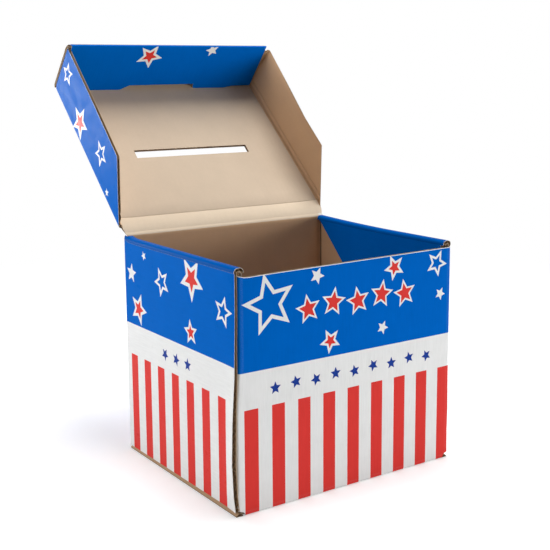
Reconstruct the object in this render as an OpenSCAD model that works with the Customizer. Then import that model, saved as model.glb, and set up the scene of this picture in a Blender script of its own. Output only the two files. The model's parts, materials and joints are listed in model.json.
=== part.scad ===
// Ballot box of die-cut corrugated board: an open box with rolled-over double
// side walls, and a hinged tray lid with a slot, shown leaning back open.
// The origin is the centre of the underside. +X is right as seen from the
// front, +Y is towards the back wall and +Z is up.

/* [Body] */
// Outer width, over both side walls
body_w = 229; // [200:1:320]
// Outer depth, front face to back face
body_d = 191; // [180:1:300]
// Height to the top of the rolled-over side walls
body_h = 203; // [160:1:300]
// Height of the front wall, lower than the side walls
front_h = 197; // [140:1:280]

/* [Board] */
// Thickness of the corrugated board
board = 2.8; // [1.5:0.1:4]
// Clearance between two boards that lie face to face
ply_gap = 0.3; // [0.1:0.1:0.8]
// Thickness of the paper liner that is left at the lid's hinge crease
liner = 0.4; // [0.2:0.1:0.6]

/* [Side walls] */
// Gap between the front and the back dust flap that are trapped in a side wall
flap_meet_gap = 15.4; // [4:0.2:60]
// Taper of a dust flap's free end, above and below
flap_taper = 6; // [0:0.5:12]
// How far the inner wall's slanted rear edge runs forward and down
inner_slant = 60; // [20:1:90]
// Distance from the back wall to the top of that slanted edge
inner_setback = 4; // [1:0.5:15]
// Width of a locking tab under the inner wall
lock_tab_w = 34; // [10:1:40]
// Distance of each locking tab from the end of the inner wall's foot
lock_tab_inset = 14; // [4:1:24]

/* [Lid] */
// Angle from closed to the pose that is shown
lid_open = 137.5; // [0:0.5:200]
// Clearance between the closed lid and the top of the side walls
lid_rest_gap = 0.3; // [0.1:0.1:1]
// Clearance between the lid's side walls and the box
lid_side_gap = 0.3; // [0.1:0.1:1]
// Clearance between the lid's inner front panel and the box
lid_front_gap = 0.5; // [0.2:0.1:2]
// Depth of the lid's side walls, over the lid's top
lid_side_h = 53; // [35:1:80]
// Depth of the lid's rolled-over front wall, over the lid's top
lid_front_h = 61; // [40:1:90]
// Distance from the hinge to the start of a side wall's crease
lid_side_start = 6.5; // [3:0.5:15]
// Distance from the hinge to the corner of a side wall's slanted rear edge
lid_knee = 50; // [25:1:90]
// How much lower the wall is at that corner than at the front
lid_knee_drop = 1.5; // [0:0.5:5]
// Distance from the hinge to the relief score across the lid
relief_score = 18; // [10:1:30]
// Distance from the hinge crease to the first full board of the lid
hinge_start = 0.7; // [0.5:0.1:1]

/* [Lid details] */
// Length of the ballot slot
slot_len = 132; // [80:1:160]
// Width of the ballot slot
slot_w = 10.6; // [6:0.2:20]
// Distance from the hinge to the middle of the ballot slot
slot_from_hinge = 97; // [60:1:130]
// Distance from the middle of the lid to the near end of a front panel's tab
front_tab_near = 39; // [15:1:50]
// Distance from the middle of the lid to the far end of that tab
front_tab_far = 90; // [60:1:95]
// Height of the inner front panel's edge above the lid, between the tabs
panel_lift = 3.4; // [1:0.2:6]
// Length of the lid's dust flaps, trapped in its rolled-over front
lid_flap_len = 85; // [40:1:95]
// How much shorter the inner front panel is than the lid, at each end
panel_short = 1.8; // [0.5:0.1:4]
// How much shorter the lid's rolled strip is than the lid, at each end
strip_short = 1.5; // [0:0.1:4]

/* [Hidden] */
$fn = 48;

blue_print = [0.02, 0.34, 0.72];
kraft = [0.80, 0.70, 0.56];

// Three boards with their clearances: the thickness of a rolled-over wall
pack = 3 * board + 2 * ply_gap;
half_w = body_w / 2;
half_d = body_d / 2;
// Half the length of the front and back walls, between the outer side walls
wall_half = half_w - board - ply_gap;
// Gap under an outer side wall, where it stands on the bottom panel's edge
seam = ply_gap;
// How far the bottom panel's edge strips stop short of the front and back
edge_short = 0.6;
// Clearance of a flap's edges from the folds above and below it
flap_clear = 0.8;
flap_len = half_d - board - flap_meet_gap / 2;
// Front and rear ends of the inner wall's foot, and the locking tabs' starts
inner_front = -half_d + board + ply_gap;
inner_top_back = half_d - board - ply_gap - inner_setback;
inner_foot_back = inner_top_back - inner_slant;
lock_tabs = [
  inner_front + lock_tab_inset,
  inner_foot_back - lock_tab_inset - lock_tab_w
];

// The lid is drawn lying on its outer face, with the hinge along X at zero,
// its length along +Y and its walls rising along +Z
hinge_z = body_h + lid_rest_gap + board;
lid_half = half_w + lid_side_gap;
lid_outer = lid_half + board;
lid_len = body_d + lid_front_gap + pack;
// The face of the lid's dust flaps that touches the outer front panel's side
lid_flap_face = lid_len - board - ply_gap;
panel_half = lid_half - panel_short;

// The part outside a quarter round of radius r that fills the corner at zero
module corner_cut(r) {
  difference() {
    translate([-1, -1]) square(r + 1);
    translate([r, r]) circle(r);
  }
}

// A flat outline in Y and Z, made into a board from x0 to x1
module board_yz(x0, x1) {
  translate([x0, 0, 0]) rotate([90, 0, 90]) linear_extrude(x1 - x0) children();
}

// A flat outline in X and Z, made into a piece from y0 to y1
module piece_xz(y0, y1) {
  translate([0, y1, 0]) rotate([90, 0, 0]) linear_extrude(y1 - y0) children();
}

// A slab between two corners
module slab(low, high) {
  translate(low) cube(high - low);
}

// The same piece on the right side of the box
module right_side() {
  mirror([1, 0, 0]) children();
}

// Section of one rolled-over wall, outer face at x = 0: its three folded sides
// are cut from one outline whose two top edges are rounded like a fold
module roll_section(x0, x1, z0, z1, top) {
  difference() {
    translate([x0, z0]) square([x1 - x0, z1 - z0]);
    translate([0, top]) mirror([0, 1]) corner_cut(board);
    translate([pack, top]) mirror([1, 0]) mirror([0, 1]) corner_cut(board);
  }
}

// Body

module bottom_panel() {
  color(kraft) linear_extrude(board) difference() {
    union() {
      square([2 * half_w, 2 * (half_d - board)], center = true);
      for (s = [-1, 1]) translate([s * (half_w - board / 2), 0])
        square([board, 2 * (half_d - edge_short)], center = true);
    }
    for (s = [0, 1], y = lock_tabs) mirror([s, 0])
      translate([half_w - pack - ply_gap, y - ply_gap])
        square([board + 2 * ply_gap, lock_tab_w + 2 * ply_gap]);
  }
}

// A front or back wall that faces -Y, with rounded folds at its foot and ends
module end_wall(top) {
  intersection() {
    linear_extrude(top) difference() {
      translate([-wall_half, -half_d]) square([2 * wall_half, board]);
      for (s = [0, 1]) mirror([s, 0]) translate([-wall_half, -half_d]) corner_cut(board);
    }
    board_yz(-wall_half, wall_half) difference() {
      translate([-half_d, 0]) square([board, top]);
      translate([-half_d, 0]) corner_cut(board);
    }
  }
}

module front_wall() {
  color(blue_print) end_wall(front_h);
}

// The back wall's outer liner runs on to the hinge line of the lid
module back_wall() {
  color(kraft) union() {
    mirror([0, 1, 0]) end_wall(body_h);
    slab([-wall_half, half_d - liner, body_h - 1], [wall_half, half_d, hinge_z]);
  }
}

// Left outer wall: it stands on the bottom panel's raw edge
module outer_wall() {
  piece_xz(-half_d, half_d) translate([-half_w, 0])
    roll_section(0, board, board + seam, body_h - board, body_h);
}

// The strip ends at the back wall, which rises to the lid's hinge
module top_strip() {
  piece_xz(-half_d, half_d - board - ply_gap) translate([-half_w, 0])
    roll_section(0, pack, body_h - board, body_h, body_h);
}

// Outline of the inner wall in Y and Z: an ear passes over the low front wall,
// the rear edge slants forward, and two tabs lock into the bottom panel
module inner_outline() {
  foot = board + seam;
  top = body_h - board;
  ear_z = front_h + flap_clear;
  polygon([
    [inner_front, foot], [inner_foot_back, foot],
    [inner_foot_back, top - inner_slant], [inner_top_back, top],
    [-half_d + edge_short, top], [-half_d + edge_short, ear_z], [inner_front, ear_z]
  ]);
  for (y = lock_tabs) translate([y, seam]) square([lock_tab_w, board + 2]);
}

module inner_wall() {
  board_yz(-half_w + pack - board, -half_w + pack) inner_outline();
}

// A left dust flap on the front wall, trapped between the two side wall boards
module dust_flap(top) {
  x0 = -half_w + board + ply_gap;
  foot = board + flap_clear;
  board_yz(x0, x0 + board) translate([-half_d + board, 0]) polygon([
    [0, foot], [flap_len, foot + flap_taper],
    [flap_len, top - flap_taper], [0, top]
  ]);
}

module left_outer_wall() { color(blue_print) outer_wall(); }
module right_outer_wall() { color(blue_print) right_side() outer_wall(); }
module left_top_strip() { color(blue_print) top_strip(); }
module right_top_strip() { color(blue_print) right_side() top_strip(); }
module left_inner_wall() { color(blue_print) inner_wall(); }
module right_inner_wall() { color(blue_print) right_side() inner_wall(); }

module front_left_dust_flap() {
  color(kraft) dust_flap(front_h - flap_clear);
}

module front_right_dust_flap() {
  color(kraft) right_side() dust_flap(front_h - flap_clear);
}

module back_left_dust_flap() {
  color(kraft) mirror([0, 1, 0]) dust_flap(body_h - board - flap_clear);
}

module back_right_dust_flap() {
  color(kraft) right_side() mirror([0, 1, 0]) dust_flap(body_h - board - flap_clear);
}

// Lid

// Turns the lid about the hinge line, from lying open to the shown pose
module lid_place() {
  translate([0, half_d, hinge_z]) rotate([180 - lid_open, 0, 0]) children();
}

// Board between the hinge crease and the relief score, narrower at the hinge
module lid_hinge_strip() {
  color(kraft) lid_place() linear_extrude(board) polygon([
    [-wall_half, hinge_start], [wall_half, hinge_start],
    [lid_half, lid_side_start], [lid_half, relief_score],
    [-lid_half, relief_score], [-lid_half, lid_side_start]
  ]);
}

module lid_top() {
  tab_slot = front_tab_far - front_tab_near + 2 * ply_gap;
  color(kraft) lid_place() linear_extrude(board) difference() {
    translate([-lid_half, relief_score])
      square([2 * lid_half, lid_len - board - relief_score]);
    translate([0, slot_from_hinge]) square([slot_len, slot_w], center = true);
    for (s = [0, 1]) mirror([s, 0])
      translate([front_tab_near - ply_gap, lid_len - pack - ply_gap])
        square([tab_slot, board + 2 * ply_gap]);
  }
}

// Left wall of the lid, with a slanted rear edge and rounded folds where it
// meets the lid's top and its own dust flap
module lid_side_wall() {
  intersection() {
    board_yz(-lid_outer, -lid_half) polygon([
      [lid_side_start, 0], [lid_flap_face, 0], [lid_flap_face, lid_side_h],
      [lid_knee, lid_side_h - lid_knee_drop]
    ]);
    piece_xz(0, lid_len) translate([-lid_outer, 0]) difference() {
      square([board, lid_side_h]);
      corner_cut(board);
    }
    linear_extrude(lid_side_h) translate([-lid_outer, 0]) difference() {
      square([board, lid_flap_face]);
      translate([0, lid_flap_face]) mirror([0, 1]) corner_cut(board);
    }
  }
}

// Left dust flap of the lid, trapped inside the rolled-over front
module lid_dust_flap() {
  top = lid_side_h - flap_clear;
  foot = board + flap_clear;
  piece_xz(lid_flap_face - board, lid_flap_face) translate([-lid_half, 0]) polygon([
    [0, foot], [lid_flap_len, foot + flap_taper],
    [lid_flap_len, top - flap_taper], [0, top]
  ]);
}

module lid_left_wall() { color(blue_print) lid_place() lid_side_wall(); }
module lid_right_wall() { color(blue_print) lid_place() right_side() lid_side_wall(); }
module lid_left_dust_flap() { color(kraft) lid_place() lid_dust_flap(); }
module lid_right_dust_flap() { color(kraft) lid_place() right_side() lid_dust_flap(); }

// A board of the rolled-over front, by its section: zero is the outer face
module front_roll(half, d0, d1, z0, z1) {
  translate([0, lid_len, 0]) mirror([0, 1, 0]) board_yz(-half, half)
    roll_section(d0, d1, z0, z1, lid_front_h);
}

module lid_front_outer() {
  color(blue_print) lid_place() difference() {
    front_roll(lid_outer, 0, board, 0, lid_front_h - board);
    translate([0, lid_len, 0]) mirror([0, 1, 0])
      board_yz(-lid_outer - 1, lid_outer + 1) corner_cut(board);
  }
}

module lid_front_top_strip() {
  color(blue_print) lid_place()
    front_roll(lid_outer - strip_short, 0, pack, lid_front_h - board, lid_front_h);
}

// Inner front panel: two tabs pass through the lid's top
module lid_front_inner() {
  color(blue_print) lid_place() union() {
    front_roll(panel_half, pack - board, pack, board + panel_lift, lid_front_h - board);
    for (s = [0, 1]) mirror([s, 0, 0]) slab(
      [front_tab_near, lid_len - pack, seam],
      [front_tab_far, lid_len - pack + board, board + panel_lift + 1]
    );
  }
}

bottom_panel();
front_wall();
back_wall();
left_outer_wall();
right_outer_wall();
left_top_strip();
right_top_strip();
left_inner_wall();
right_inner_wall();
front_left_dust_flap();
front_right_dust_flap();
back_left_dust_flap();
back_right_dust_flap();
lid_hinge_strip();
lid_top();
lid_left_wall();
lid_right_wall();
lid_left_dust_flap();
lid_right_dust_flap();
lid_front_outer();
lid_front_top_strip();
lid_front_inner();
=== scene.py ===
"""Looks of the ballot box: every panel of corrugated board gets its two liners, its
wavy medium between them, its folds and its print, around the fixed CAD frame."""

import json
import math
import random

import bpy
from mathutils import Matrix, Vector
from mathutils.geometry import delaunay_2d_cdt


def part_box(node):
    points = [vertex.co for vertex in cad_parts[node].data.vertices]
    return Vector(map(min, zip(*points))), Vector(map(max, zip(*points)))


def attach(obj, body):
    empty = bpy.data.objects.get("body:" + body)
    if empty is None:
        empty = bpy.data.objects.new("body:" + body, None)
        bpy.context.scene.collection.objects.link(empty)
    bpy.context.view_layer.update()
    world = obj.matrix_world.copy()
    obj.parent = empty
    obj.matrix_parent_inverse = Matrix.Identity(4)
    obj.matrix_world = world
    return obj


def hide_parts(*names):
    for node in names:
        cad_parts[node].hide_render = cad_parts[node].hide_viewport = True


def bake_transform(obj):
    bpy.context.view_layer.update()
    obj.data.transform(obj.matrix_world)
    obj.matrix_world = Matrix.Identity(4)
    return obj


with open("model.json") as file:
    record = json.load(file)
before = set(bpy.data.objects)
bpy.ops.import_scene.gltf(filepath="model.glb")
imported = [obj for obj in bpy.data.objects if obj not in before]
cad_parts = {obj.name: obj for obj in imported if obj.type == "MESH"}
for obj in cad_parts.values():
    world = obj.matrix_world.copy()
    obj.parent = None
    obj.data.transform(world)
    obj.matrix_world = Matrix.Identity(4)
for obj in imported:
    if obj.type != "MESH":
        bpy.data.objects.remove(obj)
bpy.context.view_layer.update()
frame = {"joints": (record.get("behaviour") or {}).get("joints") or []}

# Sizes are in millimetres until a mesh is made
MM = 0.001

# Corrugated board, its layers and the distance between its flutes
BOARD = 2.8
LINER = 0.3
MEDIUM = 0.22
PITCH = 6.4

# Room between panels, beside the medium, and for it behind a score
PLAY = 0.3
WAVE_PLAY = 0.02
DENT_ROOM = 0.4

# Radii of the folds, and the wear and painted shade beside them: half its width, and its strength
FOLD = 3.2
ROLL = 4.4
LID_ROLL = 2.9
FOLD_WEAR_AND_SHADE = (1.6, 0.06)

# How finely the panels are cut
WAVE_STEPS = 8
FOLD_STEPS = 7
GRID = 14
CUT_MERGE = 0.0005
SCUFF_CUTS = (-1, -0.4, 0, 0.4, 1)
SCORE_CUTS = (-1, -0.5, 0, 0.5, 1)


def corner(node, which, axis):
    """One coordinate of a CAD node's lowest (0) or highest (1) corner."""
    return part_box(node)[which][axis] / MM


# Overall sizes, read from the frame
HALF_W = corner("right_outer_wall", 1, 0)
HALF_D = corner("right_outer_wall", 1, 1)
BODY_H = corner("left_top_strip", 1, 2)
FRONT_H = corner("front_wall", 1, 2)
WALL_HALF = corner("front_wall", 1, 0)
INNER_FACE = corner("right_top_strip", 0, 0)
HINGE = Vector(frame["joints"][0]["pos_m"]) / MM
LID_HALF = corner("lid_top", 1, 0)
LID_OUTER = corner("lid_right_wall", 1, 0)

# The lid's own directions in the shown pose: along its length and into its tray
LID_LEAN = math.radians(42.5)
LID_ALONG = Vector((0, math.cos(LID_LEAN), math.sin(LID_LEAN)))
LID_DEEP = Vector((0, -math.sin(LID_LEAN), math.cos(LID_LEAN)))

# Along the lid: where its board starts, its relief score, the knee of its side walls,
# and its length; and those walls' heights at the front and at the knee
HINGE_START = 0.7
RELIEF = 18
LID_KNEE = 50
LID_LEN = 200.5
LID_SIDE_H = 53
LID_KNEE_H = 51.5

X = Vector((1, 0, 0))
Y = Vector((0, 1, 0))
Z = Vector((0, 0, 1))


# Colours, as seen on screen

def rgb(red, green, blue):
    """A screen colour as linear light."""
    def linear(level):
        level /= 255
        return level / 12.92 if level <= 0.04045 else ((level + 0.055) / 1.055) ** 2.4
    return (linear(red), linear(green), linear(blue), 1)


# Materials

WHITE = (1, 1, 1, 1)
PAPER = rgb(230, 230, 228)
BUMP_DEPTH = 0.03 * MM
KRAFT_SHINE = 0.08
KRAFT_IOR = 1.5
PRINT_SHINE = 0.13
PRINT_GLOSS = 0.36
PRINT_IOR = 1.2
BLUE_SHEEN = {"shine": 0.03, "tint": (0.03, 0.4, 1, 1)}


def scaled(colour, factor):
    return tuple(min(1, part * factor) for part in colour[:3]) + (1,)


class Nodes:
    """Builds the nodes of a material, or of the world, with short calls."""

    def __init__(self, name, kind=bpy.data.materials):
        self.owner = kind.new(name)
        self.owner.use_nodes = True
        self.tree = self.owner.node_tree
        self.tree.nodes.clear()

    def add(self, kind, inputs=(), **settings):
        node = self.tree.nodes.new(kind)
        for key, value in settings.items():
            setattr(node, key, value)
        for key, value in dict(inputs).items():
            if isinstance(value, bpy.types.NodeSocket):
                self.tree.links.new(value, node.inputs[key])
            else:
                node.inputs[key].default_value = value
        return node

    def math(self, operation, first, second=0):
        return self.add("ShaderNodeMath", {0: first, 1: second}, operation=operation).outputs[0]

    def noise(self, vector, scale, detail=3, rough=0.55):
        node = self.add("ShaderNodeTexNoise", {
            "Vector": vector, "Scale": scale, "Detail": detail, "Roughness": rough})
        return node.outputs["Fac"]

    def stretch(self, vector, scale):
        return self.add("ShaderNodeMapping", {"Vector": vector, "Scale": scale}).outputs[0]

    def ramp(self, value, low, high, out_low=0, out_high=1):
        node = self.add("ShaderNodeMapRange", {
            "Value": value, "From Min": low, "From Max": high,
            "To Min": out_low, "To Max": out_high})
        return node.outputs[0]

    def mix(self, factor, first, second):
        node = self.add("ShaderNodeMix", {0: factor, 6: first, 7: second}, data_type="RGBA")
        return node.outputs[2]

    def attribute(self, name, output):
        return self.add("ShaderNodeAttribute", attribute_name=name).outputs[output]

    def finish(self, colour, roughness, height, specular, tint, ior):
        bump = self.add("ShaderNodeBump", {
            "Height": height, "Distance": BUMP_DEPTH, "Strength": 1})
        shader = self.add("ShaderNodeBsdfPrincipled", {
            "Base Color": colour, "Roughness": roughness, "IOR": ior,
            "Normal": bump.outputs[0], "Specular IOR Level": specular, "Specular Tint": tint})
        self.add("ShaderNodeOutputMaterial", {0: shader.outputs[0]})
        return self.owner


def washboard(nodes, place):
    """Faint ridges of the liner over the flutes: 0 in a valley, 1 on a ridge."""
    across = nodes.add("ShaderNodeSeparateXYZ", {0: place}).outputs[0]
    turns = nodes.math("MULTIPLY", across, 2 * math.pi / (PITCH * MM))
    return nodes.math("MULTIPLY_ADD", nodes.math("COSINE", turns), 0.5)


def board_nodes(name):
    """A new material's nodes, with the place on the board, the wear and painted shade, and the
    ridges.
    """
    nodes = Nodes(name)
    place = nodes.attribute("board", "Vector")
    return nodes, place, nodes.attribute("wear_and_shade", "Fac"), washboard(nodes, place)


def print_material(name, ink, shine=PRINT_SHINE, tint=WHITE):
    """Ink on a white liner: even, a little mottled, faint on the flutes, cracked at folds."""
    nodes, place, wear_and_shade, ridge = board_nodes(name)
    mottle = nodes.noise(place, 60)
    streak = nodes.noise(nodes.stretch(place, (700, 60, 1)), 1)
    fleck = nodes.noise(place, 1500, 2, 0.7)
    colour = nodes.mix(nodes.ramp(mottle, 0.3, 0.7), scaled(ink, 0.96), scaled(ink, 1.03))
    colour = nodes.mix(nodes.ramp(streak, 0.35, 0.75), colour, scaled(ink, 1.06))
    colour = nodes.mix(nodes.ramp(ridge, 0, 1, 0, 0.25), colour, scaled(ink, 0.985))
    pinhole = nodes.ramp(fleck, 0.78, 0.84, 0, 0.25)
    colour = nodes.mix(pinhole, colour, PAPER)
    crack = nodes.math("MULTIPLY", wear_and_shade, nodes.ramp(fleck, 0.42, 0.62))
    colour = nodes.mix(nodes.math("MULTIPLY", crack, 0.8), colour, PAPER)
    rough = nodes.noise(place, 95, 4)
    roughness = nodes.ramp(rough, 0.32, 0.68, PRINT_GLOSS - 0.1, PRINT_GLOSS + 0.12)
    grain = nodes.noise(place, 900)
    height = nodes.math("ADD", nodes.math("MULTIPLY", ridge, 0.35),
                        nodes.math("MULTIPLY", grain, 0.3))
    return nodes.finish(colour, roughness, height, shine, tint, PRINT_IOR)


def kraft_material(name, tone, dark=0.86):
    """Brown kraft paper: fine fibres, light and dark flecks, faint flute lines, and painted shade
    in its scores, creases and folds.
    """
    nodes, place, wear_and_shade, ridge = board_nodes(name)
    cloud = nodes.noise(place, 45, 4)
    fibres = nodes.noise(nodes.stretch(place, (2600, 500, 1500)), 1, 4, 0.65)
    cross = nodes.noise(nodes.stretch(place, (420, 2400, 1500)), 1, 3, 0.6)
    fleck = nodes.noise(place, 1300, 2, 0.7)
    base = rgb(*tone)
    colour = nodes.mix(nodes.ramp(cloud, 0.3, 0.7), scaled(base, 0.97), scaled(base, 1.03))
    colour = nodes.mix(nodes.ramp(fibres, 0.35, 0.7, 0, 0.3), colour, scaled(base, dark))
    colour = nodes.mix(nodes.ramp(cross, 0.45, 0.8, 0, 0.3), colour, scaled(base, 1.12))
    colour = nodes.mix(nodes.ramp(fleck, 0.72, 0.8, 0, 0.4), colour, scaled(base, 0.65))
    colour = nodes.mix(nodes.ramp(ridge, 0, 1, 0, 0.12), colour, scaled(base, 0.95))
    # Painted shade: the kraft is darker where the fold and score mask is high, in scores, crease
    # valleys and folds
    colour = nodes.mix(nodes.math("MULTIPLY", wear_and_shade, 0.5), colour, scaled(base, 0.72))
    roughness = nodes.ramp(fibres, 0.3, 0.7, 0.78, 0.92)
    height = nodes.math("ADD", nodes.math("MULTIPLY", fibres, 0.6),
                        nodes.math("MULTIPLY", ridge, 0.5))
    return nodes.finish(colour, roughness, height, KRAFT_SHINE, WHITE, KRAFT_IOR)


INKS = {
    "blue": print_material("blue_ink", rgb(0, 98, 192), **BLUE_SHEEN),
    # deep: a darker copy of the blue ink, for the tops of the rolls: painted shade
    "deep": print_material("blue_roll_painted_shade", rgb(0, 83, 165), **BLUE_SHEEN),
    "red": print_material("red_ink", rgb(219, 60, 55)),
    "white": print_material("white_liner", rgb(232, 233, 232)),
    "navy": print_material("navy_ink", rgb(30, 60, 146)),
    "kraft": kraft_material("kraft_liner", (200, 181, 159)),
    # pale: a lighter copy of the kraft, for the lid's hinge strip: painted light
    "pale": kraft_material("kraft_painted_light", (212, 194, 171)),
    # inside: a darker, warmer copy of the kraft, for faces inside the box and the lid's walls:
    # painted shade
    "inside": kraft_material("kraft_painted_shade", (198, 162, 127)),
    # medium: the medium's own darker kraft, darkened further as painted shade for the hollows
    # between the flutes
    "medium": kraft_material("kraft_medium_and_hollow_shade", (162, 134, 104), 0.75),
    "edge": kraft_material("liner_edge", (188, 166, 138), 0.8),
    "cut": kraft_material("liner_cut", (216, 212, 204), 0.85),
    # back: the liners' backs, darkened as painted shade for the flute hollows, and used on the
    # lid's dust flaps as painted shade in the gaps
    "back": kraft_material("liner_back_and_painted_shade", (168, 138, 106), 0.8),
}
INK_ORDER = list(INKS)


# Flat geometry

STAR_WAIST = 0.46


def clamped(value):
    """The value, held between 0 and 1."""
    return min(1, max(0, value))


def inside(point, loop):
    """True if a flat point lies in a closed outline."""
    x, y = point
    found = False
    for (ax, ay), (bx, by) in zip(loop, loop[1:] + loop[:1]):
        if (ay > y) != (by > y) and x < ax + (y - ay) * (bx - ax) / (by - ay):
            found = not found
    return found


def box_loop(x0, y0, x1, y1):
    return [(x0, y0), (x1, y0), (x1, y1), (x0, y1)]


def star(x, y, radius, turn):
    """Outline of a five-pointed star with one tip at the angle turn, in degrees."""
    loop = []
    for i in range(10):
        angle = math.radians(turn + 36 * i)
        reach = radius * (STAR_WAIST if i % 2 else 1)
        loop.append((x + reach * math.cos(angle), y + reach * math.sin(angle)))
    return loop


def cut_flat(loops, lines):
    """Triangles over all the outlines' area, cut along every outline and line."""
    points, edges = [], []
    for loop in loops:
        first = len(points)
        points += [Vector(p) for p in loop]
        edges += [(first + i, first + (i + 1) % len(loop)) for i in range(len(loop))]
    for start, end in lines:
        edges.append((len(points), len(points) + 1))
        points += [Vector(start), Vector(end)]
    found = delaunay_2d_cdt(points, edges, [], 0, CUT_MERGE)
    return [tuple(v) for v in found[0]], [tuple(t) for t in found[2]]


def bounds_of(loop):
    xs, ys = zip(*loop)
    return min(xs), min(ys), max(xs), max(ys)


# A panel: a flat outline of board, placed and bent in space

def unchanged(u, v):
    return 0


PANEL_OPTIONS = {
    "holes": [], "folds": {}, "crisp": 2, "cuts": [], "art": [], "ink": "blue",
    "lining": "kraft", "slot": "blue_board", "across": 0, "scores": [], "scuffs": [],
    "warp": unchanged, "shift": unchanged, "pinch": unchanged, "crush": unchanged,
}


class Panel:
    """One panel of board. u and v lie in its printed face, depth goes into the board
    from that face. folds gives the radius of a rounded fold on the sides u0 u1 v0 v1.
    art holds outlines and their inks. warp sinks a point, shift moves it along u, pinch
    thins the board towards its print and crush towards its lining. Scores and scuffs
    are (axis, place, half width, amount)."""

    def __init__(self, node, body, origin, u_way, v_way, deep_way, outline, **options):
        self.node = node
        self.body = body
        self.origin = Vector(origin)
        self.ways = (u_way, v_way, deep_way)
        self.flip = u_way.cross(v_way).dot(deep_way) > 0
        self.outline = outline
        self.box = bounds_of(outline)
        for key, value in {**PANEL_OPTIONS, **options}.items():
            setattr(self, key, value)
        self.scuffs = list(self.scuffs)
        for key, radius in self.folds.items():
            edge, way = self.side(key)
            self.scuffs.append(("uv".index(key[0]), edge + way * radius, *FOLD_WEAR_AND_SHADE))
        self.points, self.coords, self.wear_and_shade = [], [], []
        self.faces, self.inks = [], []

    def side(self, key):
        """The place of a side such as u0, and the way from it into the panel."""
        axis = "uv".index(key[0])
        return (self.box[axis], 1) if key[1] == "0" else (self.box[axis + 2], -1)

    def fullness(self, angle):
        """How far a fold stands out beyond a quarter circle."""
        total = abs(math.sin(angle)) ** self.crisp + abs(math.cos(angle)) ** self.crisp
        return total ** (-1 / self.crisp)

    def folded(self, place, axis, depth):
        """Where a coordinate goes when the panel's sides are rounded."""
        low, high = self.box[axis], self.box[axis + 2]
        for side, edge, way in (("0", low, -1), ("1", high, 1)):
            radius = self.folds.get("uv"[axis] + side)
            if radius and (place - edge) * way > -radius:
                angle = (1 + (place - edge) * way / radius) * math.pi / 2
                reach = (radius - depth) * self.fullness(angle)
                centre = edge - way * radius
                return centre + way * reach * math.sin(angle), radius - reach * math.cos(angle)
        return place, depth

    def shape(self, u, v, depth):
        """A point of the board in space, in metres."""
        depth += (BOARD - depth) * self.crush(u, v)
        depth *= 1 - self.pinch(u, v)
        moved_u, depth_u = self.folded(u, 0, depth)
        moved_v, depth_v = self.folded(v, 1, depth)
        bent = max(depth_v, depth_u, key=lambda folded: abs(folded - depth))
        sunk = bent + self.warp(u, v)
        moved_u += self.shift(u, v)
        u_way, v_way, deep_way = self.ways
        spot = self.origin + u_way * moved_u + v_way * moved_v + deep_way * sunk
        return spot * MM

    def line(self, axis, place):
        """A cut right across the panel, at one place on an axis."""
        u0, v0, u1, v1 = self.box
        return ((place, v0), (place, v1)) if axis == 0 else ((u0, place), (u1, place))

    def fold_lines(self):
        """Cuts that let the folds bend, and that hold the wear beside them."""
        cuts = []
        for key, radius in self.folds.items():
            edge, way = self.side(key)
            for i in range(1, FOLD_STEPS + 1):
                cuts.append(("uv".index(key[0]), edge + way * radius * i / FOLD_STEPS))
        for axis, place, half, _ in self.scuffs:
            cuts += [(axis, place + half * s) for s in SCUFF_CUTS]
        for axis, place, half, _ in self.scores:
            cuts += [(axis, place + half * s) for s in SCORE_CUTS]
        return [self.line(*cut) for cut in cuts]

    def grid_lines(self):
        """Cuts at a steady distance, so that a broad bulge can show."""
        lines = []
        for axis in (0, 1):
            low, high = self.box[axis], self.box[axis + 2]
            lines += [self.line(axis, low + i * GRID) for i in range(1, int((high - low) / GRID))]
        return lines

    def wave_lines(self):
        """Cuts along the flutes, close enough to carry the medium's wave."""
        low, high = self.box[self.across], self.box[self.across + 2]
        step = PITCH / WAVE_STEPS
        return [self.line(self.across, i * step)
                for i in range(math.ceil(low / step), int(high / step) + 1)]

    def keep(self, points, triangles):
        """The triangles that lie on the board, each with its middle."""
        kept = []
        for triangle in triangles:
            spot = [sum(parts) / 3 for parts in zip(*(points[i] for i in triangle))]
            if inside(spot, self.outline) and not any(inside(spot, h) for h in self.holes):
                kept.append((triangle, spot))
        return kept

    def ink_at(self, spot):
        """The ink of the last outline of the print that holds a flat point."""
        ink = self.ink
        for loop, name in self.art:
            x0, y0, x1, y1 = bounds_of(loop)
            if x0 <= spot[0] <= x1 and y0 <= spot[1] <= y1 and inside(spot, loop):
                ink = name
        return ink

    def wear_and_shade_at(self, u, v, depth):
        """1 on a fold's edge or in a score, 0 away from it. Print cracks there; kraft is darkened
        there as painted shade.
        """
        worst = 0
        for axis, place, half, amount in self.scuffs:
            reach = abs((u, v)[axis] - place)
            worst = max(worst, amount * max(0, 1 - reach / half))
        if depth > BOARD / 2:
            # In a score the inner liner's kraft is darkened: painted shade in the groove
            for axis, place, half, _ in self.scores:
                reach = abs((u, v)[axis] - place)
                worst = max(worst, max(0, 1 - reach / half))
        return worst

    def dent(self, u, v):
        """How far a score presses the inner liner in."""
        deepest = 0
        for axis, place, half, sink in self.scores:
            reach = abs((u, v)[axis] - place) / half
            if reach < 1:
                deepest = max(deepest, sink * (0.5 + 0.5 * math.cos(math.pi * reach)))
        return deepest

    def pin(self, u, v, depth):
        """Adds a point, with its place on the board and its wear and painted shade."""
        self.points.append(self.shape(u, v, depth))
        across, along = (u, v) if self.across == 0 else (v, u)
        self.coords.append(Vector((across, along, depth)) * MM)
        self.wear_and_shade.append(self.wear_and_shade_at(u, v, depth))

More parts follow.
